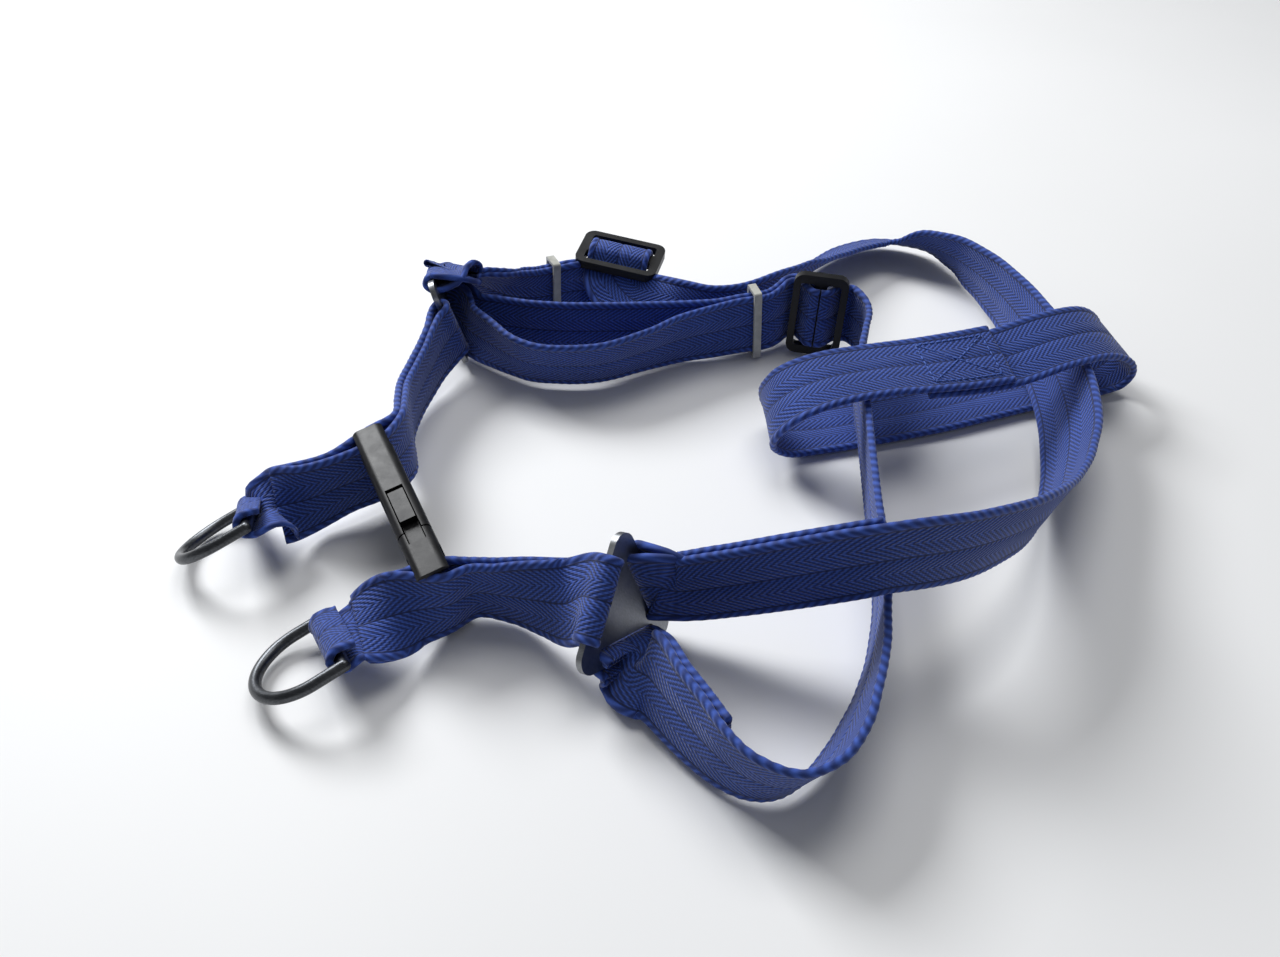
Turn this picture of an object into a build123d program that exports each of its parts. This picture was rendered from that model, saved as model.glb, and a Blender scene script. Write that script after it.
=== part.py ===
from build123d import *
import os
from math import cos, pi, sin, sqrt

os.makedirs("parts", exist_ok=True)

# ---- driving dimensions, mm -------------------------------------------------
WEB_W = 25.0          # webbing width
WEB_T = 2.0           # webbing thickness
LAYER = 2.5           # centre to centre of two webbing layers lying together
WIRE_R = 1.8          # D-ring wire radius
RING_W = 26.5         # D-ring inside width
RING_LEG = 9.0        # straight part of each D-ring side
PLATE_SIDE = 39.0     # triangle plate, tip to tip
PLATE_T = 2.0
CORNER_R = 4.6
SLOT_L = 25.0
SLOT_W = 3.2
BAR_W = 2.8           # bar outside each slot
GLIDE_L = 34.0        # tri-glide along its bars
GLIDE_S = 21.0
GLIDE_T = 3.6
BUCKLE_W = 28.0
BUCKLE_T = 10.5
SOCKET_L = 49.0
PLUG_L = 17.4

# ---- where the hardware lies: position, then two directions -----------------
LOWER_RING = ((-86.5, -83, 9.8), (-0.81, -0.50, -0.24), (-0.45, 0.83, -0.30))
UPPER_RING = ((-123, -33, 12.2), (-0.85, -0.42, -0.32), (-0.28, 0.83, -0.45))
LOWER_PLATE = ((-4.6, -79, 18.2), (0.59, 0.73, -0.34), (0.80, -0.53, 0.28))
UPPER_PLATE = ((-75, 77, 21.2), (0.10, -0.94, 0.34), (0.95, 0.20, 0.24))
BUCKLE = ((-63.7, -55.1, 15.0), (-0.434, 0.896, 0.06), (-0.144, -0.143, 0.979))
UPPER_GLIDE = ((-8, 112, 24.5), (0.96, -0.26, -0.10), (0.06, -0.16, 0.98))
RIGHT_GLIDE = ((69, 78.5, 17.4), (0.04, 0.04, 0.99), (-0.2, -0.98, 0.05))

# ---- strap routes: centre of the webbing, then its width direction ----------
OUTER_NEAR = [
    ((10, -72.5, 19.5), (-0.15, 0, 0.99)), ((24, -75, 24), (-0.02, 0, 1)),
    ((46, -79, 33), (0, 0.04, 1)), ((67, -80, 39), (-0.02, 0.05, 1)),
    ((91, -71, 35), (0, 0, 1)), ((114, -53, 26.5), (0.08, -0.16, 0.98)),
    ((131, -31, 17), (0.28, -0.14, 0.94)), ((141, -11, 13.6), (0.48, -0.15, 0.87)),
    ((148, 9, 13.4), (0.62, -0.15, 0.77)), ((152, 30, 13.6), (0.64, -0.12, 0.76)),
    ((153, 54, 13.6), (0.55, -0.05, 0.83)), ((151, 80, 13.2), (0.36, 0, 0.93)),
    ((147, 104, 13), (0.1, 0.0, 0.99)), ((140, 124, 13), (-0.08, -0.2, 0.97)),
    ((131, 141, 12), (-0.18, -0.6, 0.78)), ((120, 153, 8.4), (-0.1, -0.85, 0.48)),
    ((108, 157, 6.8), (0.16, -0.9, 0.40)), ((96, 152, 7.0), (0.34, -0.84, 0.44)),
    ((84, 141, 8.0), (0.38, -0.76, 0.52)), ((73, 127, 9.5), (0.36, -0.64, 0.66)),
    ((63, 111, 11.5), (0.2, -0.35, 0.9)), ((52, 97, 13), (0, -0.1, 0.99)),
    ((40, 88.5, 13), (0, 0, 1)), ((28, 86, 13), (0.05, 0.05, 0.99)),
    ((16, 88, 13.2), (0.3, 0.3, 0.9)), ((5, 92, 13.6), (0.72, 0.35, 0.6)),
    ((-4, 96, 14.4), (0.97, -0.05, 0.2))]
INNER_NEAR = [
    ((-1, -92, 8.6), (0.62, 0.48, 0.62)), ((3, -98, 11.8), (0.33, 0.24, 0.91)),
    ((8, -107, 12.8), (0.22, 0.16, 0.96)), ((14, -116, 13), (0.15, 0.15, 0.98)),
    ((20, -124, 13), (0.04, 0.0, 1)), ((28, -130.5, 12.8), (0.0, -0.2, 0.97)),
    ((37, -132, 12.2), (0.0, -0.42, 0.90)), ((46, -127, 12.0), (0.3, -0.38, 0.87)),
    ((53, -118, 12.4), (0.34, -0.27, 0.9)), ((58, -108, 12.8), (0.28, -0.15, 0.95)),
    ((63, -96, 12.6), (0.2, -0.06, 0.98)), ((67, -82, 12.6), (0.08, 0, 1)),
    ((71, -62, 12.8), (0, 0, 1)), ((73, -38, 13.4), (-0.05, 0, 1)),
    ((75, -12, 15.0), (-0.05, 0, 1)), ((77, 12, 16.0), (-0.05, 0, 1)),
    ((79, 36, 15.6), (-0.05, 0, 1)), ((83, 54, 15.2), (0, 0, 1)),
    ((86, 66, 15.6), (0, 0, 1)), ((85, 74, 16.6), (0.02, 0, 1))]
LEG_LOWER = [
    ((-79.5, -79.5, 10.2), (-0.38, 0.9, 0.05)), ((-73, -76.5, 11.6), (-0.25, 0.8, 0.5)),
    ((-65.5, -73.4, 13.0), (-0.12, 0.25, 0.95)), ((-56.6, -69.4, 13.9), (-0.14, -0.14, 0.98)),
    ((-48, -66, 13.6), (-0.04, -0.18, 0.98)), ((-39, -67.5, 13.8), (0.02, -0.1, 0.99)),
    ((-29, -72, 16), (0.06, 0.15, 0.98)), ((-20, -77.5, 19.6), (0.18, 0.45, 0.86))]
LEG_UPPER = [
    ((-115, -29, 12.6), (-0.2, 0.65, 0.7)), ((-107, -26, 13.8), (0.0, 0.15, 0.98)),
    ((-96, -21, 15.8), (-0.05, -0.1, 0.98)), ((-84.3, -12.6, 17.8), (-0.14, -0.14, 0.98)),
    ((-78.5, -3.5, 17.6), (-0.1, -0.06, 0.99)), ((-80, 8, 16), (0, 0, 1)),
    ((-82, 20, 14.2), (0.06, -0.04, 0.99)), ((-81, 33, 13.8), (0.08, -0.04, 0.99)),
    ((-78.5, 45, 14.8), (0.04, -0.1, 0.98)), ((-76, 54, 16.6), (-0.05, -0.15, 0.98))]
KEEPER_RUNS = [(0.912, 0.408, -0.044), (0.969, 0.243, 0.05)]
SPREAD = 3.3          # each layer from the middle where a buckle bar lies between them
INNER_ADJ_FRONT = [
    ((-66, 74, 13.3), (-0.25, 0.35, 0.9)), ((-57, 65, 13.3), (-0.15, 0.05, 0.98)),
    ((-48, 57, 12.9), (-0.10, -0.25, 0.95)), ((-43, 53.6, 12.8), (-0.06, -0.33, 0.93)),
    ((-35, 51, 12.7), (-0.04, -0.4, 0.91)), ((-16, 51.5, 12.7), (0.08, -0.38, 0.92)),
    ((1, 59.5, 12.9), (0.14, -0.3, 0.94)), ((15, 67.5, 13.2), (0.08, -0.16, 0.98)),
    ((31, 73.5, 13.4), (0.02, -0.04, 0.99)), ((39, 75.6, 14.0), (0, 0, 1)),
    ((51, 78.6, 14.6), (0, 0, 1))]
INNER_ADJ_BACK = [
    ((-65, 79, 13.4), (-0.25, 0.35, 0.9)), ((-56, 77.5, 13.4), (-0.1, 0.1, 0.98)),
    ((-48, 76.6, 13.2), (0, 0, 1)), ((-43, 75.4, 13.2), (0, 0, 1)),
    ((-28, 74, 13.0), (0, 0, 1)), ((-12, 74, 13.0), (0, 0, 1)),
    ((4, 74.5, 13.0), (0, 0, 1)), ((18, 75, 13.2), (0, 0, 1)), ((30.4, 76.2, 13.4), (0, 0, 1)),
    ((38.4, 78.2, 14.0), (0, 0, 1)), ((50.3, 81.4, 14.6), (0, 0, 1))]
OUTER_ADJ = [
    ((-70, 88.5, 31), (0.1, -0.82, 0.5)), ((-61, 91.5, 24), (0.08, -0.5, 0.85)),
    ((-53, 94, 18), (0.04, -0.15, 0.98)), ((-45.5, 97.1, 14.9), (0.02, -0.05, 0.99)),
    ((-41.5, 98.8, 14.0), (0, 0, 1)), ((-29, 104.4, 13.4), (0, 0, 1))]
LOOP = [
    ((95, 22, 29.2), (-0.3, 0.93, 0.22)), ((112, 27, 28.2), (-0.3, 0.9, 0.3)),
    ((128, 32, 28.4), (-0.3, 0.88, 0.34)), ((148, 41, 29.8), (-0.36, 0.85, 0.34)),
    ((166, 49.5, 27.5), (-0.38, 0.86, 0.34)), ((177, 56, 19), (-0.39, 0.87, 0.28)),
    ((180, 60, 11), (-0.4, 0.89, 0.2)), ((178, 62, 4.5), (-0.4, 0.91, 0.1)),
    ((171, 60, 1.6), (-0.4, 0.91, 0)), ((150, 53, 1.2), (-0.36, 0.92, 0)),
    ((128, 45, 1.2), (-0.34, 0.94, 0)), ((106, 37, 1.2), (-0.3, 0.95, 0)),
    ((82, 30, 1.2), (-0.25, 0.97, 0)), ((62, 25, 1.3), (-0.18, 0.98, 0)),
    ((50, 21, 4.6), (-0.12, 0.98, 0.08)), ((45, 17, 12), (-0.08, 0.97, 0.2)),
    ((45, 12, 21), (-0.08, 0.95, 0.28)), ((50, 10, 28.5), (-0.12, 0.95, 0.26)),
    ((62, 12.5, 32.6), (-0.2, 0.95, 0.18)), ((80, 17.5, 33.0), (-0.26, 0.94, 0.16)),
    ((95, 22, 31.7), (-0.3, 0.93, 0.22)), ((112, 27, 30.7), (-0.3, 0.9, 0.3)),
    ((126, 31.5, 30.3), (-0.3, 0.88, 0.34))]


def frame(pose):
    """Plane of one piece of hardware, from its position and two directions."""
    origin, x_dir, z_dir = pose
    return Plane(origin=origin, x_dir=x_dir, z_dir=z_dir)


def ring_frame(pose):
    """D-ring plane: local +X along the bow, local +Y along the bar."""
    origin, bow, bar = pose
    return Plane(origin=origin, x_dir=bow, z_dir=Vector(*bow).cross(Vector(*bar)))


def tangents(points):
    ends = [points[0]] + points + [points[-1]]
    return [(ends[i + 2] - ends[i]).normalized() for i in range(len(points))]


def layer(route, offset=0.0, spread_at=None):
    """Stations of a route as vectors, moved sideways to make one of two layers."""
    points = [Vector(*c) for c, _ in route]
    stations = []
    for i, (p, run) in enumerate(zip(points, tangents(points))):
        w = Vector(*route[i][1])
        w = (w - run * w.dot(run)).normalized()
        side = SPREAD * offset / abs(offset) if i == spread_at else offset
        stations.append((p + run.cross(w) * side, w))
    return stations


def turn(centre, axis, toward, radius, lead=5.0, gap=2.0):
    """Stations of webbing turned round a bar, coming from and going back toward."""
    axis = Vector(*axis).normalized()
    toward = Vector(*toward)
    toward = (toward - axis * toward.dot(axis)).normalized()
    side = toward.cross(axis)
    centre = Vector(*centre)
    arc = [(centre + side * radius * cos(a) - toward * radius * sin(a), axis)
           for a in (0, pi / 4, pi / 2, 3 * pi / 4, pi)]
    tails = [(centre + toward * lead + side * s * gap, axis) for s in (1, -1)]
    return [tails[0]] + arc + [tails[1]]


def flat_face(*corners):
    return Face(Wire.make_polygon(corners, close=True))


def ribbon(stations):
    """Webbing built from a rectangular section at each station, joined by flat facets."""
    rings = []
    runs = tangents([p for p, _ in stations])
    for (p, width_dir), run in zip(stations, runs):
        w = (width_dir - run * width_dir.dot(run)).normalized() * (WEB_W / 2)
        n = run.cross(w).normalized() * (WEB_T / 2)
        rings.append([p + w + n, p - w + n, p - w - n, p + w - n])
    faces = [flat_face(*rings[0][::-1]), flat_face(*rings[-1])]
    for q, r in zip(rings, rings[1:]):
        for i in range(4):
            j = (i + 1) % 4
            if i == 2:     # same diagonal as the opposite broad face, so a twist keeps its thickness
                faces += [flat_face(q[i], q[j], r[i]), flat_face(q[j], r[j], r[i])]
            else:
                faces += [flat_face(q[i], q[j], r[j]), flat_face(q[i], r[j], r[i])]
    return Solid(Shell(faces))


def squeezed(webbing, *hardware):
    """Webbing pressed flat where it bears on what it is threaded through."""
    for other in hardware:
        webbing = webbing - other
    return max(webbing.solids(), key=lambda part: part.volume)


def d_ring(pose):
    half = RING_W / 2 + WIRE_R
    bar = Rot(90, 0, 0) * Cylinder(WIRE_R, 2 * half)
    legs = [Pos(RING_LEG / 2, s * half, 0) * Rot(0, 90, 0) * Cylinder(WIRE_R, RING_LEG)
            for s in (-1, 1)]
    bow = Pos(RING_LEG, 0, 0) * Rot(0, 0, -90) * Torus(half, WIRE_R)
    bow = bow & Pos(RING_LEG + half, 0, 0) * Box(2 * half, 4 * half, 4 * WIRE_R)
    corners = [Pos(0, s * half, 0) * Sphere(WIRE_R) for s in (-1, 1)]
    body = bar + legs[0] + legs[1] + bow + corners[0] + corners[1]
    return ring_frame(pose) * body


def plate_slot(k):
    """Outward angle in degrees of slot k: right, left, bottom."""
    return (30, 150, 270)[k]


def triangle_plate(pose):
    reach = PLATE_SIDE / sqrt(3) - CORNER_R
    corners = [(reach * cos(pi * a / 180), reach * sin(pi * a / 180)) for a in (90, 210, 330)]
    outline = make_hull([e for x, y in corners for e in (Pos(x, y) * Circle(CORNER_R)).edges()])
    middle = reach / 2 + CORNER_R - BAR_W - SLOT_W / 2
    for k in range(3):
        outline -= Rot(0, 0, plate_slot(k)) * Pos(middle, 0) * Rot(0, 0, 90) * SlotOverall(
            SLOT_L, SLOT_W)
    return frame(pose) * extrude(outline, PLATE_T / 2, both=True)


def plate_bar(pose, k):
    """Centre and axis of the bar outside slot k."""
    reach = PLATE_SIDE / sqrt(3) - CORNER_R
    out = reach / 2 + CORNER_R - BAR_W / 2
    a = pi * plate_slot(k) / 180
    f = frame(pose)
    d = f.x_dir * cos(a) + f.y_dir * sin(a)
    return f.origin + d * out, f.y_dir * cos(a) - f.x_dir * sin(a)


def glide(pose):
    """Three-bar slider: local X along the bars."""
    shape = RectangleRounded(GLIDE_L, GLIDE_S, 4)
    for s in (-1, 1):
        shape -= Pos(0, s * 5.0) * RectangleRounded(27, 5.6, 1.2)
    return frame(pose) * extrude(shape, GLIDE_T / 2, both=True)


def keeper(centre, along, up, inner_t, inner_w=27.0):
    plane = Plane(origin=centre, x_dir=up, z_dir=along)
    outer = RectangleRounded(inner_w + 2.4, inner_t + 2.4, 1.0)
    return plane * extrude(outer - RectangleRounded(inner_w, inner_t, 0.5), 1.5, both=True)


def socket():
    """Female half: local X from the mouth to the strap bar, local Z the buckle's width."""
    shell = Pos(SOCKET_L / 2, 0, 0) * Box(SOCKET_L, BUCKLE_T, BUCKLE_W)
    shell = fillet(shell.edges().filter_by(Axis.X), 2.6)
    shell -= Pos(14, 0, 0) * Box(29, 6.3, 24.4)
    shell -= Pos(SOCKET_L - 6.4, 0, 0) * Box(6.6, 12, 25.4)
    for y in (-1, 1):
        shell -= Pos(SOCKET_L - 4, y * 5.4, 0) * Box(11.4, 6, 25.4)
    for s in (-1, 1):
        shell -= Pos(9, 0, s * 13.4) * Box(20, 5.6, 5)
    return shell


def plug():
    """Male half without its arms: strap bar frame, centre guide and arm roots."""
    base = Pos(-PLUG_L / 2 - 0.6, 0, 0) * Box(PLUG_L, BUCKLE_T, BUCKLE_W)
    base = fillet(base.edges().filter_by(Axis.X), 2.6)
    base -= Pos(-PLUG_L + 5.8, 0, 0) * Box(6.6, 12, 25.4)
    for y in (-1, 1):
        base -= Pos(-PLUG_L + 3.4, y * 5.4, 0) * Box(11.4, 6, 25.4)
    for s in (-1, 1):
        base -= Pos(-2.5, 0, s * 10.9) * Box(5, 5.4, 6.4)
    return base + Pos(11, 0, 0) * Box(24, 4.6, 7)


def plug_arm(s):
    """One springy arm, hinged at its root, ending in the push pad."""
    stem = Pos(2, 0, s * 10.2) * Box(10, 4.8, 2.2)
    pad = Pos(11.5, 0, s * 11.2) * Box(13, 4.8, 4.6)
    return stem + pad


def weave(pose, profile):
    """Stations of webbing threaded through a slider: local (along, height) pairs."""
    f = frame(pose)
    return [(f.origin + f.y_dir * a + f.z_dir * h, f.x_dir) for a, h in profile]


def back(stations):
    return stations[::-1]


def at_bar(pose, k, route_end):
    """Webbing turned round bar k of a plate, facing the strap whose end is given."""
    centre, axis = plate_bar(pose, k)
    point, width_dir = route_end
    axis = axis if axis.dot(width_dir) > 0 else axis * -1
    return turn(centre, axis, point - centre, BAR_W / 2 + WEB_T / 2 + 0.25)


def at_ring(pose):
    bow = Vector(*pose[1])
    return turn(pose[0], pose[2], bow * -1, WIRE_R + WEB_T / 2 + 0.6)


buckle_plane = Plane(origin=BUCKLE[0], x_dir=BUCKLE[1], z_dir=BUCKLE[2])
low_back = layer(LEG_LOWER, -LAYER / 2, spread_at=3)
low_front = layer(LEG_LOWER, LAYER / 2, spread_at=3)
leg_lower = at_ring(LOWER_RING) + low_back + at_bar(LOWER_PLATE, 1, low_back[-1]) + back(low_front)
up_out, up_in = layer(LEG_UPPER, -LAYER / 2, spread_at=3), layer(LEG_UPPER, LAYER / 2, spread_at=3)
leg_upper = at_ring(UPPER_RING) + up_out + at_bar(UPPER_PLATE, 0, up_out[-1]) + back(up_in)
outer = layer(OUTER_NEAR)
outer_strap = (layer(OUTER_NEAR[:4], -LAYER)[::-1] + at_bar(LOWER_PLATE, 0, outer[0])[::-1]
               + outer
               + weave(UPPER_GLIDE, [(-9.5, -3.7), (-7.4, -3.2), (-5, 0), (-2.6, 3.2), (0, 3.6),
                                     (2.6, 3.2), (5, 0), (6.4, -3.6), (6.4, -8)]))
inner = layer(INNER_NEAR)
inner_strap = (layer(INNER_NEAR[:5], -LAYER)[::-1] + at_bar(LOWER_PLATE, 2, inner[0])[::-1]
               + inner + weave(RIGHT_GLIDE, [(-12, -4.2), (-9.5, -3.5), (-7.4, -3.2), (-5, 0),
                                             (-2.6, 3.2), (-0.3, 3.6)]))
adj_front, adj_back = layer(INNER_ADJ_FRONT), layer(INNER_ADJ_BACK)
inner_front = adj_front[3:] + weave(
    RIGHT_GLIDE, [(10, -4.1), (7.4, -3.4), (5, 0), (2.6, 3.2), (0.3, 3.6)])
inner_back = adj_back[3:] + weave(RIGHT_GLIDE, [(11, -7.0), (7, -6.4), (2, -3.6), (-1.5, -3.1)])
inner_turn = back(adj_front[:3]) + at_bar(UPPER_PLATE, 1, adj_front[0]) + adj_back[:3]
out_in, out_out = layer(OUTER_ADJ, LAYER / 2), layer(OUTER_ADJ, -LAYER / 2)
outer_turn = back(out_out[:3]) + at_bar(UPPER_PLATE, 2, out_in[0]) + out_in[:3]

shapes = {
    "d_ring_lower": d_ring(LOWER_RING),
    "d_ring_upper": d_ring(UPPER_RING),
    "triangle_plate_lower": triangle_plate(LOWER_PLATE),
    "triangle_plate_upper": triangle_plate(UPPER_PLATE),
    "buckle_socket": buckle_plane * socket(),
    "buckle_plug": buckle_plane * plug(),
    "buckle_arm_top": buckle_plane * plug_arm(1),
    "buckle_arm_bottom": buckle_plane * plug_arm(-1),
    "tri_glide_upper": glide(UPPER_GLIDE),
    "tri_glide_right": glide(RIGHT_GLIDE),
    "keeper_upper": keeper((-35.2, 101.6, 13.7), KEEPER_RUNS[0], (0, 0, 1), 6.4),
    "keeper_right": keeper((44.7, 78.4, 14.3), KEEPER_RUNS[1], (0, 0, 1), 6.4),
    "outer_strap": ribbon(outer_strap),
    "inner_strap": ribbon(inner_strap),
    "joining_loop": ribbon(layer(LOOP)),
    "leg_strap_lower": ribbon(leg_lower),
    "leg_strap_upper": ribbon(leg_upper),
    "inner_adjuster_front": ribbon(inner_front),
    "inner_adjuster_back": ribbon(inner_back),
    "inner_adjuster_fold": ribbon(inner_turn),
    "outer_adjuster_front": ribbon(out_in[3:]),
    "outer_adjuster_back": ribbon(out_out[3:]),
    "outer_adjuster_fold": ribbon(outer_turn),
}

for strap, hardware in {
        "leg_strap_lower": ("triangle_plate_lower", "buckle_plug"),
        "leg_strap_upper": ("triangle_plate_upper", "buckle_socket"),
        "inner_strap": ("triangle_plate_lower", "tri_glide_right"),
        "joining_loop": ("outer_strap",),
        "inner_adjuster_front": ("tri_glide_right", "inner_strap"),
        "inner_adjuster_back": ("tri_glide_right",),
        "outer_adjuster_back": ("outer_adjuster_front", "tri_glide_upper")}.items():
    shapes[strap] = squeezed(shapes[strap], *(shapes[h] for h in hardware))

# ---- the whole set on the ground, origin under its middle -------------------
boxes = [shape.bounding_box() for shape in shapes.values()]
low = [min(tuple(box.min)[i] for box in boxes) for i in range(3)]
high = [max(tuple(box.max)[i] for box in boxes) for i in range(3)]
shift = (-(low[0] + high[0]) / 2, -(low[1] + high[1]) / 2, -low[2])
print("shift", shift, "low", low, "high", high)

for name, shape in shapes.items():
    shape = Pos(*shift) * shape
    export_step(shape, f"parts/{name}.step")
    box = shape.bounding_box()
    print(name, shape.is_valid, len(shape.solids()), round(shape.volume, 1),
          [round(v, 1) for v in (*box.min, *box.max)])
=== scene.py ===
"""Blue webbing harness laid out on a floor: detailed webbing, hardware finishes, light and camera."""

from math import cos, pi, radians, sin, sqrt

import bpy
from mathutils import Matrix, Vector


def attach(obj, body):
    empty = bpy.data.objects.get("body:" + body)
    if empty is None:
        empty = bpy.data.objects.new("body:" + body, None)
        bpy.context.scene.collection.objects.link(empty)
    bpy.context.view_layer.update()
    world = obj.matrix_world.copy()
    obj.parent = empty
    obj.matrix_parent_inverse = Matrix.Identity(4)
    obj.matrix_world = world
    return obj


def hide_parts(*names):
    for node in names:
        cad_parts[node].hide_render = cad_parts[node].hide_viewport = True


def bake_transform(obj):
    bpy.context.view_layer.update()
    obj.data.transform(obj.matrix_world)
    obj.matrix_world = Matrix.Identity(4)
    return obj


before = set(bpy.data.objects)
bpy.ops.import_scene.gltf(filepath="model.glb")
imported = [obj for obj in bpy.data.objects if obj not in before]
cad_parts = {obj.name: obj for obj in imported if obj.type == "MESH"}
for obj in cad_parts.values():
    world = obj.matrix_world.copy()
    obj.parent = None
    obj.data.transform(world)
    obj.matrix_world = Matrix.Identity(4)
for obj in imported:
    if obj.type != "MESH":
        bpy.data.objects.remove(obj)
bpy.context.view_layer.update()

# ---- sizes, mm, as in the model -------------------------------------------------------
SHIFT = Vector((-20.139985, -15.468265, 1.051761))   # the model's move to the middle of its box
WEB_W, LAYER, WIRE_R = 25.0, 2.5, 1.8
PLATE_SIDE, CORNER_R, BAR_W = 39.0, 4.6, 2.8
SPREAD = 3.3
STEP = 0.8            # webbing sample spacing along its length
SOFTEN = 40           # smoothing passes over the width direction
ROPE_PITCH = 3.2      # one twist of the rolled selvedge
ROPE_FROM = 10.2      # where the rolled selvedge starts, from the middle of the webbing
ROPE_DEPTH = 0.09     # share by which the twist raises and lowers the selvedge
WARP_ENDS = 36        # yarns across the webbing
WEFT_PICKS = 22       # cross yarns in one webbing width of length
TWILL_RUN, TWILL_SLANT = 11.0, 17.0   # herringbone lines along, and their slant across
THREAD_PITCH = 2.6    # one stitch and its gap
THREAD_HALF, THREAD_R = 1.15, 0.36    # half length and radius of one raised stitch
THREAD_LIFT = 0.95    # height of the stitches above the middle of the webbing
BOX_HALF = 8.6        # half width of a box stitch

LOWER_RING = ((-86.5, -83, 9.8), (-0.81, -0.50, -0.24), (-0.45, 0.83, -0.30))
UPPER_RING = ((-123, -33, 12.2), (-0.85, -0.42, -0.32), (-0.28, 0.83, -0.45))
LOWER_PLATE = ((-4.6, -79, 18.2), (0.59, 0.73, -0.34), (0.80, -0.53, 0.28))
UPPER_PLATE = ((-75, 77, 21.2), (0.10, -0.94, 0.34), (0.95, 0.20, 0.24))
UPPER_GLIDE = ((-8, 112, 24.5), (0.96, -0.26, -0.10), (0.06, -0.16, 0.98))
RIGHT_GLIDE = ((69, 78.5, 17.4), (0.04, 0.04, 0.99), (-0.2, -0.98, 0.05))

# ---- strap routes, the same stations as in the model ----------------------------------
OUTER_NEAR = [
    ((10, -72.5, 19.5), (-0.15, 0, 0.99)), ((24, -75, 24), (-0.02, 0, 1)),
    ((46, -79, 33), (0, 0.04, 1)), ((67, -80, 39), (-0.02, 0.05, 1)),
    ((91, -71, 35), (0, 0, 1)), ((114, -53, 26.5), (0.08, -0.16, 0.98)),
    ((131, -31, 17), (0.28, -0.14, 0.94)), ((141, -11, 13.6), (0.48, -0.15, 0.87)),
    ((148, 9, 13.4), (0.62, -0.15, 0.77)), ((152, 30, 13.6), (0.64, -0.12, 0.76)),
    ((153, 54, 13.6), (0.55, -0.05, 0.83)), ((151, 80, 13.2), (0.36, 0, 0.93)),
    ((147, 104, 13), (0.1, 0.0, 0.99)), ((140, 124, 13), (-0.08, -0.2, 0.97)),
    ((131, 141, 12), (-0.18, -0.6, 0.78)), ((120, 153, 8.4), (-0.1, -0.85, 0.48)),
    ((108, 157, 6.8), (0.16, -0.9, 0.40)), ((96, 152, 7.0), (0.34, -0.84, 0.44)),
    ((84, 141, 8.0), (0.38, -0.76, 0.52)), ((73, 127, 9.5), (0.36, -0.64, 0.66)),
    ((63, 111, 11.5), (0.2, -0.35, 0.9)), ((52, 97, 13), (0, -0.1, 0.99)),
    ((40, 88.5, 13), (0, 0, 1)), ((28, 86, 13), (0.05, 0.05, 0.99)),
    ((16, 88, 13.2), (0.3, 0.3, 0.9)), ((5, 92, 13.6), (0.72, 0.35, 0.6)),
    ((-4, 96, 14.4), (0.97, -0.05, 0.2))]
INNER_NEAR = [
    ((-1, -92, 8.6), (0.62, 0.48, 0.62)), ((3, -98, 11.8), (0.33, 0.24, 0.91)),
    ((8, -107, 12.8), (0.22, 0.16, 0.96)), ((14, -116, 13), (0.15, 0.15, 0.98)),
    ((20, -124, 13), (0.04, 0.0, 1)), ((28, -130.5, 12.8), (0.0, -0.2, 0.97)),
    ((37, -132, 12.2), (0.0, -0.42, 0.90)), ((46, -127, 12.0), (0.3, -0.38, 0.87)),
    ((53, -118, 12.4), (0.34, -0.27, 0.9)), ((58, -108, 12.8), (0.28, -0.15, 0.95)),
    ((63, -96, 12.6), (0.2, -0.06, 0.98)), ((67, -82, 12.6), (0.08, 0, 1)),
    ((71, -62, 12.8), (0, 0, 1)), ((73, -38, 13.4), (-0.05, 0, 1)),
    ((75, -12, 15.0), (-0.05, 0, 1)), ((77, 12, 16.0), (-0.05, 0, 1)),
    ((79, 36, 15.6), (-0.05, 0, 1)), ((83, 54, 15.2), (0, 0, 1)),
    ((86, 66, 15.6), (0, 0, 1)), ((85, 74, 16.6), (0.02, 0, 1))]
LEG_LOWER = [
    ((-79.5, -79.5, 10.2), (-0.38, 0.9, 0.05)), ((-73, -76.5, 11.6), (-0.25, 0.8, 0.5)),
    ((-65.5, -73.4, 13.0), (-0.12, 0.25, 0.95)), ((-56.6, -69.4, 13.9), (-0.14, -0.14, 0.98)),
    ((-48, -66, 13.6), (-0.04, -0.18, 0.98)), ((-39, -67.5, 13.8), (0.02, -0.1, 0.99)),
    ((-29, -72, 16), (0.06, 0.15, 0.98)), ((-20, -77.5, 19.6), (0.18, 0.45, 0.86))]
LEG_UPPER = [
    ((-115, -29, 12.6), (-0.2, 0.65, 0.7)), ((-107, -26, 13.8), (0.0, 0.15, 0.98)),
    ((-96, -21, 15.8), (-0.05, -0.1, 0.98)), ((-84.3, -12.6, 17.8), (-0.14, -0.14, 0.98)),
    ((-78.5, -3.5, 17.6), (-0.1, -0.06, 0.99)), ((-80, 8, 16), (0, 0, 1)),
    ((-82, 20, 14.2), (0.06, -0.04, 0.99)), ((-81, 33, 13.8), (0.08, -0.04, 0.99)),
    ((-78.5, 45, 14.8), (0.04, -0.1, 0.98)), ((-76, 54, 16.6), (-0.05, -0.15, 0.98))]
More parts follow.
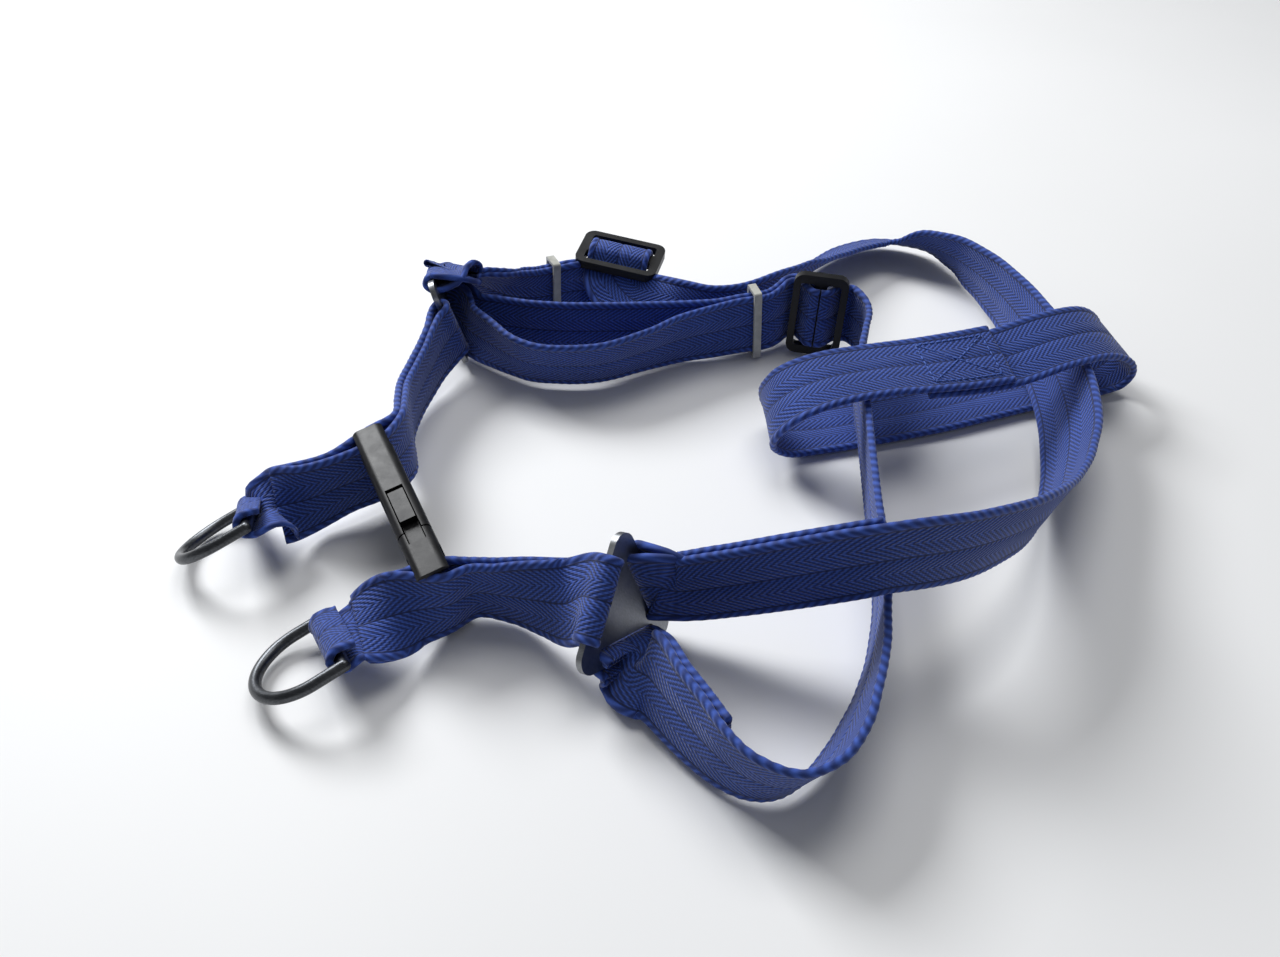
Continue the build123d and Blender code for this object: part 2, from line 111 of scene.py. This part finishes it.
INNER_ADJ_FRONT = [
    ((-66, 74, 13.3), (-0.25, 0.35, 0.9)), ((-57, 65, 13.3), (-0.15, 0.05, 0.98)),
    ((-48, 57, 12.9), (-0.10, -0.25, 0.95)), ((-43, 53.6, 12.8), (-0.06, -0.33, 0.93)),
    ((-35, 51, 12.7), (-0.04, -0.4, 0.91)), ((-16, 51.5, 12.7), (0.08, -0.38, 0.92)),
    ((1, 59.5, 12.9), (0.14, -0.3, 0.94)), ((15, 67.5, 13.2), (0.08, -0.16, 0.98)),
    ((31, 73.5, 13.4), (0.02, -0.04, 0.99)), ((39, 75.6, 14.0), (0, 0, 1)),
    ((51, 78.6, 14.6), (0, 0, 1))]
INNER_ADJ_BACK = [
    ((-65, 79, 13.4), (-0.25, 0.35, 0.9)), ((-56, 77.5, 13.4), (-0.1, 0.1, 0.98)),
    ((-48, 76.6, 13.2), (0, 0, 1)), ((-43, 75.4, 13.2), (0, 0, 1)),
    ((-28, 74, 13.0), (0, 0, 1)), ((-12, 74, 13.0), (0, 0, 1)),
    ((4, 74.5, 13.0), (0, 0, 1)), ((18, 75, 13.2), (0, 0, 1)), ((30.4, 76.2, 13.4), (0, 0, 1)),
    ((38.4, 78.2, 14.0), (0, 0, 1)), ((50.3, 81.4, 14.6), (0, 0, 1))]
OUTER_ADJ = [
    ((-70, 88.5, 31), (0.1, -0.82, 0.5)), ((-61, 91.5, 24), (0.08, -0.5, 0.85)),
    ((-53, 94, 18), (0.04, -0.15, 0.98)), ((-45.5, 97.1, 14.9), (0.02, -0.05, 0.99)),
    ((-41.5, 98.8, 14.0), (0, 0, 1)), ((-29, 104.4, 13.4), (0, 0, 1))]
LOOP = [
    ((95, 22, 29.2), (-0.3, 0.93, 0.22)), ((112, 27, 28.2), (-0.3, 0.9, 0.3)),
    ((128, 32, 28.4), (-0.3, 0.88, 0.34)), ((148, 41, 29.8), (-0.36, 0.85, 0.34)),
    ((166, 49.5, 27.5), (-0.38, 0.86, 0.34)), ((177, 56, 19), (-0.39, 0.87, 0.28)),
    ((180, 60, 11), (-0.4, 0.89, 0.2)), ((178, 62, 4.5), (-0.4, 0.91, 0.1)),
    ((171, 60, 1.6), (-0.4, 0.91, 0)), ((150, 53, 1.2), (-0.36, 0.92, 0)),
    ((128, 45, 1.2), (-0.34, 0.94, 0)), ((106, 37, 1.2), (-0.3, 0.95, 0)),
    ((82, 30, 1.2), (-0.25, 0.97, 0)), ((62, 25, 1.3), (-0.18, 0.98, 0)),
    ((50, 21, 4.6), (-0.12, 0.98, 0.08)), ((45, 17, 12), (-0.08, 0.97, 0.2)),
    ((45, 12, 21), (-0.08, 0.95, 0.28)), ((50, 10, 28.5), (-0.12, 0.95, 0.26)),
    ((62, 12.5, 32.6), (-0.2, 0.95, 0.18)), ((80, 17.5, 33.0), (-0.26, 0.94, 0.16)),
    ((95, 22, 31.7), (-0.3, 0.93, 0.22)), ((112, 27, 30.7), (-0.3, 0.9, 0.3)),
    ((126, 31.5, 30.3), (-0.3, 0.88, 0.34))]


def axes(pose):
    """Origin and right-handed axes of one piece of hardware."""
    z = Vector(pose[2]).normalized()
    x = Vector(pose[1])
    x = (x - z * x.dot(z)).normalized()
    return Vector(pose[0]), x, z.cross(x), z


def tangents(points):
    ends = [points[0]] + points + [points[-1]]
    return [(ends[i + 2] - ends[i]).normalized() for i in range(len(points))]


def layer(route, offset=0.0, spread_at=None):
    """Stations of a route, moved sideways to make one of two layers."""
    points = [Vector(c) for c, _ in route]
    stations = []
    for i, (p, run) in enumerate(zip(points, tangents(points))):
        w = Vector(route[i][1])
        w = (w - run * w.dot(run)).normalized()
        side = SPREAD * offset / abs(offset) if i == spread_at else offset
        stations.append((p + run.cross(w) * side, w))
    return stations


def turn(centre, axis, toward, radius, lead=5.0, gap=2.0):
    """Stations of webbing turned round a bar, coming from and going back toward."""
    axis = Vector(axis).normalized()
    toward = Vector(toward)
    toward = (toward - axis * toward.dot(axis)).normalized()
    side = toward.cross(axis)
    centre = Vector(centre)
    arc = [(centre + side * radius * cos(a) - toward * radius * sin(a), axis)
           for a in (0, pi / 4, pi / 2, 3 * pi / 4, pi)]
    tails = [(centre + toward * lead + side * s * gap, axis) for s in (1, -1)]
    return [tails[0]] + arc + [tails[1]]


def plate_bar(pose, k):
    """Centre and axis of the bar outside slot k: right, left, bottom."""
    o, x, y, _ = axes(pose)
    reach = PLATE_SIDE / sqrt(3) - CORNER_R
    a = radians((30, 150, 270)[k])
    out = reach / 2 + CORNER_R - BAR_W / 2
    return o + (x * cos(a) + y * sin(a)) * out, y * cos(a) - x * sin(a)


def at_bar(pose, k, route_end):
    centre, axis = plate_bar(pose, k)
    axis = axis if axis.dot(route_end[1]) > 0 else -axis
    return turn(centre, axis, route_end[0] - centre, BAR_W / 2 + 1.25)


def at_ring(pose):
    return turn(pose[0], pose[2], -Vector(pose[1]), WIRE_R + 1.6)


def weave(pose, profile):
    o, x, y, z = axes(pose)
    return [(o + y * a + z * h, x) for a, h in profile]


def back(stations):
    return stations[::-1]


# ---- webbing mesh ----------------------------------------------------------------------
def between(a, b, c, d, t, knots):
    """Centripetal Catmull-Rom point between b and c."""
    t0, t1, t2, t3 = knots
    t = t1 + (t2 - t1) * t
    p = a * ((t1 - t) / (t1 - t0)) + b * ((t - t0) / (t1 - t0))
    q = b * ((t2 - t) / (t2 - t1)) + c * ((t - t1) / (t2 - t1))
    r = c * ((t3 - t) / (t3 - t2)) + d * ((t - t2) / (t3 - t2))
    u = p * ((t2 - t) / (t2 - t0)) + q * ((t - t0) / (t2 - t0))
    v = q * ((t3 - t) / (t3 - t1)) + r * ((t - t1) / (t3 - t1))
    return u * ((t2 - t) / (t2 - t1)) + v * ((t - t1) / (t2 - t1))


def smooth(stations):
    """Closely spaced (centre, run, width direction, distance along) down the webbing."""
    pts = [p for p, _ in stations]
    wid = [w for _, w in stations]
    pts = [pts[0] * 2 - pts[1]] + pts + [pts[-1] * 2 - pts[-2]]
    wid = [wid[0]] + wid + [wid[-1]]
    centres, widths = [], []
    for i in range(1, len(pts) - 2):
        knots = [0.0]
        for j in range(i - 1, i + 2):
            knots.append(knots[-1] + max((pts[j + 1] - pts[j]).length, 0.01) ** 0.5)
        n = max(1, round((pts[i + 1] - pts[i]).length / STEP))
        for s in range(n):
            t = s / n
            centres.append(between(pts[i - 1], pts[i], pts[i + 1], pts[i + 2], t, knots))
            ease = t * t * (3 - 2 * t)
            widths.append(wid[i] * (1 - ease) + wid[i + 1] * ease)
    centres.append(pts[-2])
    widths.append(wid[-2])
    for _ in range(SOFTEN):   # spreads each twist along the webbing
        widths = [widths[0]] + [(widths[k - 1] + widths[k] * 2 + widths[k + 1]) / 4
                                for k in range(1, len(widths) - 1)] + [widths[-1]]
    rows, along = [], 0.0
    for k, (c, run) in enumerate(zip(centres, tangents(centres))):
        along += (c - centres[k - 1]).length if k else 0.0
        w = (widths[k] - run * widths[k].dot(run)).normalized()
        rows.append((c, run, w, along))
    return rows


# Half of the webbing's section, from the centre crease out: distance across, then half thickness.
HALF_SECTION = [(0.25, 0.66), (0.75, 0.88), (3.1, 0.90), (6.3, 0.90), (9.3, 0.84), (9.95, 0.72),
                (10.45, 1.0), (11.1, 1.18), (11.75, 1.08), (12.25, 0.72), (12.45, 0.30)]
SECTION = [(-u, h) for u, h in reversed(HALF_SECTION)] + HALF_SECTION


def to_world(p):
    return (p + SHIFT) / 1000


def add_mesh(name, verts, faces, material):
    """A smooth-shaded object in the scene, made from points in metres."""
    mesh = bpy.data.meshes.new(name)
    mesh.from_pydata(verts, [], faces)
    mesh.polygons.foreach_set("use_smooth", [True] * len(mesh.polygons))
    mesh.materials.append(material)
    obj = bpy.data.objects.new(name, mesh)
    bpy.context.collection.objects.link(obj)
    return obj


def webbing(name, stations, bodies=("harness",), nodes=()):
    """One length of webbing with rolled selvedges and a centre crease, as a closed mesh.

    With two bodies, it is attached to neither and stays where it is made; stations are in the model's
    unshifted mm.
    """
    rows = smooth(stations)
    verts, faces, uvs = [], [], []
    ring = SECTION + [(u, -h) for u, h in reversed(SECTION)]
    m = len(ring)
    for c, run, w, along in rows:
        n = run.cross(w)
        for u, h in ring:
            if abs(u) > ROPE_FROM:
                turn_at = 2 * pi * (along / ROPE_PITCH + (0.5 if h < 0 else 0.0)) + abs(u)
                h *= 1 + ROPE_DEPTH * sin(turn_at)
            verts.append(to_world(c + w * u + n * h))
            uvs.append((u / WEB_W + 0.5, along / WEB_W))
    for k in range(len(rows) - 1):
        for i in range(m):
            j = (i + 1) % m
            faces.append((k * m + i, k * m + j, (k + 1) * m + j, (k + 1) * m + i))
    faces.append(tuple(range(m - 1, -1, -1)))
    faces.append(tuple((len(rows) - 1) * m + i for i in range(m)))
    obj = add_mesh(name, verts, faces, WEBBING)
    weave_map = obj.data.uv_layers.new(name="weave")
    for loop in obj.data.loops:
        weave_map.data[loop.index].uv = uvs[loop.vertex_index]
    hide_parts(*nodes)
    if len(bodies) == 2:
        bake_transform(obj)
    else:
        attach(obj, bodies[0])
    return rows


# ---- materials ---------------------------------------------------------------------------
class Tree:
    """Small helper for building one material's nodes."""

    def __init__(self, name):
        self.material = bpy.data.materials.new(name)
        self.material.use_nodes = True
        self.nodes = self.material.node_tree.nodes
        self.links = self.material.node_tree.links
        self.shader = self.nodes["Principled BSDF"]

    def node(self, kind, **settings):
        made = self.nodes.new("ShaderNode" + kind)
        for key, value in settings.items():
            setattr(made, key, value)
        return made

    def plug(self, source, target):
        self.links.new(source, target)

    def math(self, operation, a, b=None, c=None):
        made = self.node("Math", operation=operation)
        for socket, value in zip(made.inputs, (a, b, c)):
            if value is None:
                continue
            if isinstance(value, (int, float)):
                socket.default_value = value
            else:
                self.plug(value, socket)
        return made.outputs[0]

    def noise(self, scale, detail=3.0, roughness=0.5, vector=None):
        made = self.node("TexNoise")
        made.inputs["Scale"].default_value = scale
        made.inputs["Detail"].default_value = detail
        made.inputs["Roughness"].default_value = roughness
        self.plug(vector or self.node("TexCoord").outputs["Object"], made.inputs["Vector"])
        return made.outputs["Fac"]

    def ramp(self, fac, *stops):
        made = self.node("ValToRGB")
        elements = made.color_ramp.elements
        for i, (position, colour) in enumerate(stops):
            element = elements[i] if i < 2 else elements.new(position)
            element.position = position
            element.color = (*colour, 1)
        self.plug(fac, made.inputs[0])
        return made.outputs["Color"]

    def bump(self, height, strength, distance):
        made = self.node("Bump")
        made.inputs["Strength"].default_value = strength
        made.inputs["Distance"].default_value = distance
        self.plug(height, made.inputs["Height"])
        self.plug(made.outputs["Normal"], self.shader.inputs["Normal"])


def webbing_material():
    """Herringbone twill in four zones, warp yarns, twisted edges, and painted shade darkening the
    centre crease and the groove beside each rolled edge.
    """
    t = Tree("webbing_blue")
    uv = t.node("UVMap", uv_map="weave")
    split = t.node("SeparateXYZ")
    t.plug(uv.outputs["UV"], split.inputs[0])
    across, along = split.outputs["X"], split.outputs["Y"]
    zone = t.math("PINGPONG", t.math("SUBTRACT", across, 0.1), 0.2)
    wander = t.math("MULTIPLY", t.noise(90.0, 2.0), 0.10)
    twill = t.math("ADD", t.math("MULTIPLY", along, TWILL_RUN),
                   t.math("MULTIPLY", zone, TWILL_SLANT))
    twill = t.math("SINE", t.math("MULTIPLY", t.math("ADD", twill, wander), 2 * pi))
    warp = t.math("SINE", t.math("MULTIPLY", across, 2 * pi * WARP_ENDS))
    weft = t.math("SINE", t.math("MULTIPLY", along, 2 * pi * WEFT_PICKS))
    body = t.math("ADD", t.math("MULTIPLY", twill, 0.62), t.math("MULTIPLY", warp, 0.24))
    body = t.math("ADD", body, t.math("MULTIPLY", weft, 0.14))
    off_centre = t.math("ABSOLUTE", t.math("SUBTRACT", across, 0.5))
    edge = t.math("GREATER_THAN", off_centre, 0.402)
    rope = t.math("ADD", t.math("MULTIPLY", along, WEB_W / ROPE_PITCH),
                  t.math("MULTIPLY", off_centre, 9.0))
    rope = t.math("SINE", t.math("MULTIPLY", rope, 2 * pi))
    height = t.node("Mix", data_type="FLOAT")
    t.plug(edge, height.inputs[0])
    t.plug(body, height.inputs[2])
    t.plug(t.math("MULTIPLY_ADD", rope, 0.45, 0.1), height.inputs[3])
    # painted shade: the colour (and the bump height) is darkened in the centre crease and in the
    # groove beside each rolled selvedge
    crease = t.math("SMOOTH_MIN", t.math("MULTIPLY", off_centre, 70.0), 1.0, 0.3)
    groove_shade = t.math("SMOOTH_MIN", t.math("MULTIPLY", t.math("ABSOLUTE", t.math(
        "SUBTRACT", off_centre, 0.398)), 60.0), 1.0, 0.3)
    level = t.math("MULTIPLY_ADD", height.outputs[0], 0.5, 0.5)
    level = t.math("MULTIPLY", level, t.math("MULTIPLY", crease, groove_shade))
    patches = t.noise(28.0, 4.0, 0.6)
    level = t.math("ADD", level, t.math("MULTIPLY", t.math("SUBTRACT", patches, 0.5), 0.35))
    colour = t.ramp(level, (0.0, (0.006, 0.013, 0.060)), (0.95, (0.048, 0.115, 0.500)),
                    (0.45, (0.015, 0.040, 0.205)))
    t.plug(colour, t.shader.inputs["Base Color"])
    t.shader.inputs["Roughness"].default_value = 0.72
    t.shader.inputs["Sheen Weight"].default_value = 0.22
    t.shader.inputs["Sheen Roughness"].default_value = 0.45
    t.shader.inputs["Specular IOR Level"].default_value = 0.3
    fuzz = t.math("MULTIPLY", t.noise(900.0, 2.0), 0.35)
    t.bump(t.math("ADD", level, fuzz), 0.75, 0.00045)
    return t.material


def metal_material(name, dark, light, scratch, roughness):
    """Brushed and handled metal: colour patches, fine scratches and worn light spots."""
    t = Tree(name)
    coords = t.node("TexCoord")
    stretch = t.node("Mapping")
    stretch.inputs["Scale"].default_value = (1.0, 9.0, 1.0)
    t.plug(coords.outputs["Object"], stretch.inputs["Vector"])
    lines = t.noise(scratch, 3.0, 0.6, stretch.outputs["Vector"])
    patches = t.noise(120.0, 4.0, 0.6)
    mixed = t.math("ADD", t.math("MULTIPLY", lines, 0.55), t.math("MULTIPLY", patches, 0.45))
    t.plug(t.ramp(mixed, (0.3, dark), (0.7, light)), t.shader.inputs["Base Color"])
    t.shader.inputs["Metallic"].default_value = 1.0
    rough = t.math("MULTIPLY_ADD", patches, 0.25, roughness - 0.12)
    t.plug(rough, t.shader.inputs["Roughness"])
    t.bump(lines, 0.25, 0.00008)
    return t.material


def plastic_material(name, dark, light, roughness):
    """Moulded plastic: fine grain, scuffs and slightly uneven gloss."""
    t = Tree(name)
    grain = t.noise(2200.0, 2.0)
    scuffs = t.noise(160.0, 5.0, 0.7)
    t.plug(t.ramp(scuffs, (0.35, dark), (0.75, light)), t.shader.inputs["Base Color"])
    t.plug(t.math("MULTIPLY_ADD", scuffs, 0.3, roughness - 0.15), t.shader.inputs["Roughness"])
    t.shader.inputs["Specular IOR Level"].default_value = 0.28
    t.bump(t.math("ADD", grain, scuffs), 0.3, 0.00006)
    return t.material


def thread_material():
    t = Tree("stitching_thread")
    twist = t.noise(1500.0, 2.0)
    t.plug(t.ramp(twist, (0.3, (0.012, 0.03, 0.15)), (0.7, (0.07, 0.16, 0.58))),
           t.shader.inputs["Base Color"])
    t.shader.inputs["Roughness"].default_value = 0.6
    t.bump(twist, 0.5, 0.0001)
    return t.material


WEBBING = webbing_material()
RING_METAL = metal_material("ring_metal", (0.035, 0.038, 0.042), (0.13, 0.135, 0.145), 700.0, 0.34)
PLATE_METAL = metal_material("plate_metal", (0.16, 0.165, 0.175), (0.34, 0.35, 0.36), 900.0, 0.38)
BLACK = plastic_material("black_plastic", (0.003, 0.003, 0.0035), (0.012, 0.012, 0.014), 0.42)
KEEPER = plastic_material("keeper_plastic", (0.33, 0.33, 0.30), (0.52, 0.52, 0.48), 0.5)
THREAD = thread_material()

FINISH = {"d_ring_lower": (RING_METAL, 0), "d_ring_upper": (RING_METAL, 0),
          "triangle_plate_lower": (PLATE_METAL, 0.3), "triangle_plate_upper": (PLATE_METAL, 0.3),
          "buckle_socket": (BLACK, 0.6), "buckle_plug": (BLACK, 0.6),
          "buckle_arm_top": (BLACK, 0.6), "buckle_arm_bottom": (BLACK, 0.6),
          "tri_glide_upper": (BLACK, 0.5), "tri_glide_right": (BLACK, 0.5),
          "keeper_upper": (KEEPER, 0.25), "keeper_right": (KEEPER, 0.25)}
for node, (material, edge) in FINISH.items():
    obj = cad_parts[node]
    obj.data.materials.clear()
    obj.data.materials.append(material)
    if edge:
        rounded = obj.modifiers.new("rounded_edges", "BEVEL")
        rounded.width = edge / 1000
        rounded.segments = 2
        rounded.limit_method = "ANGLE"
        rounded.angle_limit = radians(40)

# ---- the straps ------------------------------------------------------------------------------
low_back = layer(LEG_LOWER, -LAYER / 2, spread_at=3)
low_front = layer(LEG_LOWER, LAYER / 2, spread_at=3)
leg_lower = at_ring(LOWER_RING) + low_back + at_bar(LOWER_PLATE, 1, low_back[-1]) + back(low_front)
webbing("web_leg_lower", leg_lower, nodes=["leg_strap_lower"])
up_out, up_in = layer(LEG_UPPER, -LAYER / 2, spread_at=3), layer(LEG_UPPER, LAYER / 2, spread_at=3)
leg_upper = at_ring(UPPER_RING) + up_out + at_bar(UPPER_PLATE, 0, up_out[-1]) + back(up_in)
webbing("web_leg_upper", leg_upper, bodies=("female_half",), nodes=["leg_strap_upper"])
outer = layer(OUTER_NEAR)
outer_all = (layer(OUTER_NEAR[:4], -LAYER)[::-1] + at_bar(LOWER_PLATE, 0, outer[0])[::-1] + outer
             + weave(UPPER_GLIDE, [(-9.5, -3.7), (-7.4, -3.2), (-5, 0), (-2.6, 3.2), (0, 3.6),
                                   (2.6, 3.2), (5, 0), (6.4, -3.6), (6.4, -8)]))
outer_rows = webbing("web_outer", outer_all, nodes=["outer_strap"])
inner = layer(INNER_NEAR)
inner_all = (layer(INNER_NEAR[:5], -LAYER)[::-1] + at_bar(LOWER_PLATE, 2, inner[0])[::-1] + inner
             + weave(RIGHT_GLIDE, [(-12, -4.2), (-9.5, -3.5), (-7.4, -3.2), (-5, 0),
                                   (-2.6, 3.2), (-0.3, 3.6)]))
inner_rows = webbing("web_inner", inner_all, nodes=["inner_strap"])
loop_rows = webbing("web_joining_loop", layer(LOOP), nodes=["joining_loop"])
adj_front, adj_back = layer(INNER_ADJ_FRONT), layer(INNER_ADJ_BACK)
into_glide = weave(RIGHT_GLIDE, [(10, -4.1), (7.4, -3.4), (5, 0), (2.6, 3.2), (0.3, 3.6)])
inner_adj = (back(adj_front + into_glide)
             + at_bar(UPPER_PLATE, 1, adj_front[0]) + adj_back
             + weave(RIGHT_GLIDE, [(11, -7.0), (7, -6.4), (2, -3.6), (-1.5, -3.1)]))
webbing("web_inner_adjuster", inner_adj, bodies=("female_half", "harness"),
        nodes=["inner_adjuster_front", "inner_adjuster_back", "inner_adjuster_fold"])
out_in, out_out = layer(OUTER_ADJ, LAYER / 2), layer(OUTER_ADJ, -LAYER / 2)
under_glide = [((-24, 106.8, 12.2), (0.05, 0.25, 0.95)), ((-15, 110, 10.8), (0.1, 0.55, 0.82))]
tail_in, tail_out = layer(under_glide, LAYER / 2), layer(under_glide, -LAYER / 2)
outer_adj = (back(out_out + tail_out) + at_bar(UPPER_PLATE, 2, out_in[0]) + out_in + tail_in)
webbing("web_outer_adjuster", outer_adj, bodies=("female_half", "harness"),
        nodes=["outer_adjuster_front", "outer_adjuster_back", "outer_adjuster_fold"])


# ---- stitching ---------------------------------------------------------------------------------
def stitches(name, rows, lines, side):
    """Raised thread along lines given as ((along, across), (along, across)), mm, on one face."""
    verts, faces = [], []

    def on_face(along, across, lift):
        k = min(range(len(rows)), key=lambda i: abs(rows[i][3] - along))
        c, run, w, at = rows[k]
        return c + run * (along - at) + w * across + run.cross(w) * side * lift, run, w

    for (a0, c0), (a1, c1) in lines:
        length = sqrt((a1 - a0) ** 2 + (c1 - c0) ** 2)
        count = max(1, round(length / THREAD_PITCH))
        for i in range(count):
            mid = (i + 0.5) / count
            p, run, w = on_face(a0 + (a1 - a0) * mid, c0 + (c1 - c0) * mid, THREAD_LIFT)
            n = run.cross(w) * side
            d = (run * (a1 - a0) + w * (c1 - c0)) / length
            cross = n.cross(d)
            base = len(verts)
            for s in range(7):
                q = s / 6 * 2 - 1
                r = THREAD_R * sqrt(1 - q * q * 0.96)
                for k in range(6):
                    a = k * pi / 3
                    bulge = cross * cos(a) * r + n * (sin(a) * r * 0.8)
                    verts.append(to_world(p + d * q * THREAD_HALF + bulge))
            for s in range(6):
                for k in range(6):
                    j = (k + 1) % 6
                    faces.append((base + s * 6 + k, base + s * 6 + j,
                                  base + (s + 1) * 6 + j, base + (s + 1) * 6 + k))
            faces.append(tuple(base + k for k in range(5, -1, -1)))
            faces.append(tuple(base + 36 + k for k in range(6)))
    obj = add_mesh(name, verts, faces, THREAD)
    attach(obj, "harness")


def box_stitch(at, length, half=BOX_HALF):
    """Lines of a sewn rectangle with a cross in it."""
    a, b = at, at + length
    return [((a, -half), (b, -half)), ((b, -half), (b, half)), ((b, half), (a, half)),
            ((a, half), (a, -half)), ((a, -half), (b, half)), ((a, half), (b, -half))]


def nearest_along(rows, point):
    return min(rows, key=lambda row: (row[0] - Vector(point)).length)[3]


loop_end = loop_rows[-1][3]
stitches("stitch_loop_box", loop_rows, box_stitch(loop_end - 30, 26), 1)
lap = nearest_along(outer_rows, (46, -79, 33))
stitches("stitch_outer_lap", outer_rows, box_stitch(lap - 2, 22), -1)
lap = nearest_along(inner_rows, (14, -116, 13))
stitches("stitch_inner_lap", inner_rows, box_stitch(lap - 12, 20), -1)

# ---- floor, light and camera -----------------------------------------------------------------------
floor_mesh = bpy.data.meshes.new("floor")
floor_mesh.from_pydata([(-3, -3, 0), (3, -3, 0), (3, 3, 0), (-3, 3, 0)], [], [(0, 1, 2, 3)])
floor = bpy.data.objects.new("floor", floor_mesh)
floor.location = (0, 0, -0.0004)
bpy.context.collection.objects.link(floor)
plain = Tree("floor_pale")
plain.plug(plain.ramp(plain.noise(3.0), (0.3, (0.80, 0.80, 0.80)), (0.7, (0.84, 0.84, 0.84))),
           plain.shader.inputs["Base Color"])
plain.shader.inputs["Roughness"].default_value = 0.6
floor_mesh.materials.append(plain.material)


def area(name, location, size, power, colour=(1, 1, 1)):
    data = bpy.data.lights.new(name, "AREA")
    data.size, data.energy, data.color = size, power, colour
    lamp = bpy.data.objects.new(name, data)
    lamp.location = location
    lamp.rotation_euler = (-Vector(location)).to_track_quat("-Z", "Y").to_euler()
    bpy.context.collection.objects.link(lamp)


area("window", (-0.75, 0.8, 0.9), 0.6, 21, (0.97, 0.985, 1.0))
area("top", (0.1, 0.45, 1.3), 0.8, 7)
area("fill", (0.6, -0.9, 0.8), 1.0, 0.3)
world = bpy.data.worlds.new("studio")
world.use_nodes = True
world.node_tree.nodes["Background"].inputs[0].default_value = (0.93, 0.96, 1.0, 1)
world.node_tree.nodes["Background"].inputs[1].default_value = 0.2
bpy.context.scene.world = world
bpy.context.scene.view_settings.view_transform = "Standard"

camera_data = bpy.data.cameras.new("camera")
camera_data.lens, camera_data.sensor_width = 30.94, 36.0
camera = bpy.data.objects.new("camera", camera_data)
camera.location = to_world(Vector((0, -291, 244)))
camera.rotation_euler = (radians(50), 0, 0)
bpy.context.collection.objects.link(camera)
bpy.context.scene.camera = camera
